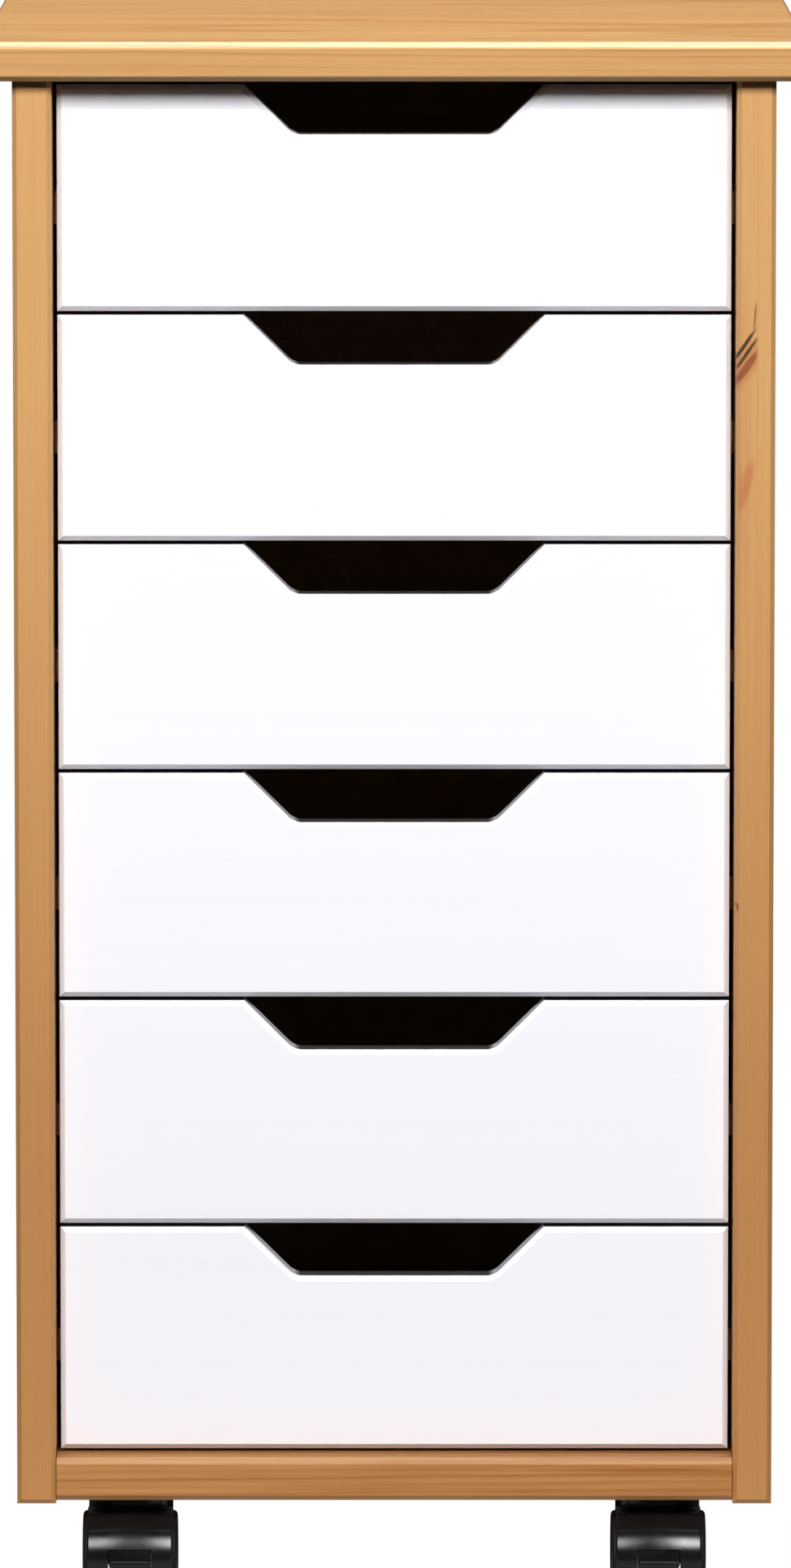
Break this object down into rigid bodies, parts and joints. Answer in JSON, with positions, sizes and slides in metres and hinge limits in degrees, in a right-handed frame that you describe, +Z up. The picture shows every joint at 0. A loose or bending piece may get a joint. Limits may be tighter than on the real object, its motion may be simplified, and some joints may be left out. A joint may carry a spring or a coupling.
{
  "type": "rolling drawer cart",
  "caption": "Narrow wooden drawer unit on twin-wheel swivel castors, with an overhanging top, a stack of drawers pulled by finger cutouts, and brake levers in front.",
  "frame": {"origin": "on the floor, below the middle of the top panel", "axes": "+Z up; the drawers open towards -Y; +X is to the right for someone who faces the drawers"},
  "size_m": [0.38, 0.3802, 0.7278],
  "materials": {
    "honey_pine": "honey stained and satin lacquered pine",
    "white_lacquer": "white lacquer over pine, satin, with faint grain",
    "drawer_wood": "plain sanded pine",
    "hardboard": "smooth brown hardboard",
    "castor_plastic": "glossy black moulded plastic",
    "wheel_plastic": "black wheel plastic, half matt",
    "zinc_steel": "zinc plated steel"
  },
  "bodies": {
    "carcase": {"top_panel": "honey_pine", "side_panel_left": "honey_pine", "side_panel_right": "honey_pine", "base_panel": "honey_pine", "back_panel": "hardboard", "castor_front_left_plate": "zinc_steel", "castor_front_right_plate": "zinc_steel", "castor_rear_left_plate": "zinc_steel", "castor_rear_right_plate": "zinc_steel"},
    "drawer_1": {"drawer_1_front": "white_lacquer", "drawer_1_side_left": "drawer_wood", "drawer_1_side_right": "drawer_wood", "drawer_1_back": "drawer_wood", "drawer_1_bottom": "hardboard"},
    "drawer_2": {"drawer_2_front": "white_lacquer", "drawer_2_side_left": "drawer_wood", "drawer_2_side_right": "drawer_wood", "drawer_2_back": "drawer_wood", "drawer_2_bottom": "hardboard"},
    "drawer_3": {"drawer_3_front": "white_lacquer", "drawer_3_side_left": "drawer_wood", "drawer_3_side_right": "drawer_wood", "drawer_3_back": "drawer_wood", "drawer_3_bottom": "hardboard"},
    "drawer_4": {"drawer_4_front": "white_lacquer", "drawer_4_side_left": "drawer_wood", "drawer_4_side_right": "drawer_wood", "drawer_4_back": "drawer_wood", "drawer_4_bottom": "hardboard"},
    "drawer_5": {"drawer_5_front": "white_lacquer", "drawer_5_side_left": "drawer_wood", "drawer_5_side_right": "drawer_wood", "drawer_5_back": "drawer_wood", "drawer_5_bottom": "hardboard"},
    "drawer_6": {"drawer_6_front": "white_lacquer", "drawer_6_side_left": "drawer_wood", "drawer_6_side_right": "drawer_wood", "drawer_6_back": "drawer_wood", "drawer_6_bottom": "hardboard"},
    "castor_front_left_fork": {"castor_front_left_housing": "castor_plastic", "castor_front_left_axle": "zinc_steel"},
    "castor_front_left_wheel_left": {"castor_front_left_wheel_left": "wheel_plastic"},
    "castor_front_left_wheel_right": {"castor_front_left_wheel_right": "wheel_plastic"},
    "castor_front_left_brake_lever": {"castor_front_left_brake_lever": "castor_plastic"},
    "castor_front_right_fork": {"castor_front_right_housing": "castor_plastic", "castor_front_right_axle": "zinc_steel"},
    "castor_front_right_wheel_left": {"castor_front_right_wheel_left": "wheel_plastic"},
    "castor_front_right_wheel_right": {"castor_front_right_wheel_right": "wheel_plastic"},
    "castor_front_right_brake_lever": {"castor_front_right_brake_lever": "castor_plastic"},
    "castor_rear_left_fork": {"castor_rear_left_housing": "castor_plastic", "castor_rear_left_axle": "zinc_steel"},
    "castor_rear_left_wheel_left": {"castor_rear_left_wheel_left": "wheel_plastic"},
    "castor_rear_left_wheel_right": {"castor_rear_left_wheel_right": "wheel_plastic"},
    "castor_rear_right_fork": {"castor_rear_right_housing": "castor_plastic", "castor_rear_right_axle": "zinc_steel"},
    "castor_rear_right_wheel_left": {"castor_rear_right_wheel_left": "wheel_plastic"},
    "castor_rear_right_wheel_right": {"castor_rear_right_wheel_right": "wheel_plastic"}
  },
  "joints": [
    {"name": "drawer_1_slide", "type": "slide", "parent": "carcase", "child": "drawer_1", "axis": [0, -1, 0], "range_m": [0, 0.25]},
    {"name": "drawer_2_slide", "type": "slide", "parent": "carcase", "child": "drawer_2", "axis": [0, -1, 0], "range_m": [0, 0.25]},
    {"name": "drawer_3_slide", "type": "slide", "parent": "carcase", "child": "drawer_3", "axis": [0, -1, 0], "range_m": [0, 0.25]},
    {"name": "drawer_4_slide", "type": "slide", "parent": "carcase", "child": "drawer_4", "axis": [0, -1, 0], "range_m": [0, 0.25]},
    {"name": "drawer_5_slide", "type": "slide", "parent": "carcase", "child": "drawer_5", "axis": [0, -1, 0], "range_m": [0, 0.25]},
    {"name": "drawer_6_slide", "type": "slide", "parent": "carcase", "child": "drawer_6", "axis": [0, -1, 0], "range_m": [0, 0.25]},
    {"name": "castor_front_left_swivel", "type": "hinge", "parent": "carcase", "child": "castor_front_left_fork", "pos_m": [-0.123, -0.13215, 0], "axis": [0, 0, 1], "continuous": true},
    {"name": "castor_front_left_wheel_left_spin", "type": "hinge", "parent": "castor_front_left_fork", "child": "castor_front_left_wheel_left", "pos_m": [-0.123, -0.14815, 0.02], "axis": [1, 0, 0], "continuous": true},
    {"name": "castor_front_left_wheel_right_spin", "type": "hinge", "parent": "castor_front_left_fork", "child": "castor_front_left_wheel_right", "pos_m": [-0.123, -0.14815, 0.02], "axis": [1, 0, 0], "continuous": true},
    {"name": "castor_front_left_brake", "type": "hinge", "parent": "castor_front_left_fork", "child": "castor_front_left_brake_lever", "pos_m": [-0.123, -0.16065, 0.0205], "axis": [1, 0, 0], "range_deg": [0, 15]},
    {"name": "castor_front_right_swivel", "type": "hinge", "parent": "carcase", "child": "castor_front_right_fork", "pos_m": [0.123, -0.13215, 0], "axis": [0, 0, 1], "continuous": true},
    {"name": "castor_front_right_wheel_left_spin", "type": "hinge", "parent": "castor_front_right_fork", "child": "castor_front_right_wheel_left", "pos_m": [0.123, -0.14815, 0.02], "axis": [1, 0, 0], "continuous": true},
    {"name": "castor_front_right_wheel_right_spin", "type": "hinge", "parent": "castor_front_right_fork", "child": "castor_front_right_wheel_right", "pos_m": [0.123, -0.14815, 0.02], "axis": [1, 0, 0], "continuous": true},
    {"name": "castor_front_right_brake", "type": "hinge", "parent": "castor_front_right_fork", "child": "castor_front_right_brake_lever", "pos_m": [0.123, -0.16065, 0.0205], "axis": [1, 0, 0], "range_deg": [0, 15]},
    {"name": "castor_rear_left_swivel", "type": "hinge", "parent": "carcase", "child": "castor_rear_left_fork", "pos_m": [-0.123, 0.14185, 0], "axis": [0, 0, 1], "continuous": true},
    {"name": "castor_rear_left_wheel_left_spin", "type": "hinge", "parent": "castor_rear_left_fork", "child": "castor_rear_left_wheel_left", "pos_m": [-0.123, 0.12585, 0.02], "axis": [1, 0, 0], "continuous": true},
    {"name": "castor_rear_left_wheel_right_spin", "type": "hinge", "parent": "castor_rear_left_fork", "child": "castor_rear_left_wheel_right", "pos_m": [-0.123, 0.12585, 0.02], "axis": [1, 0, 0], "continuous": true},
    {"name": "castor_rear_right_swivel", "type": "hinge", "parent": "carcase", "child": "castor_rear_right_fork", "pos_m": [0.123, 0.14185, 0], "axis": [0, 0, 1], "continuous": true},
    {"name": "castor_rear_right_wheel_left_spin", "type": "hinge", "parent": "castor_rear_right_fork", "child": "castor_rear_right_wheel_left", "pos_m": [0.123, 0.12585, 0.02], "axis": [1, 0, 0], "continuous": true},
    {"name": "castor_rear_right_wheel_right_spin", "type": "hinge", "parent": "castor_rear_right_fork", "child": "castor_rear_right_wheel_right", "pos_m": [0.123, 0.12585, 0.02], "axis": [1, 0, 0], "continuous": true}
  ]
}
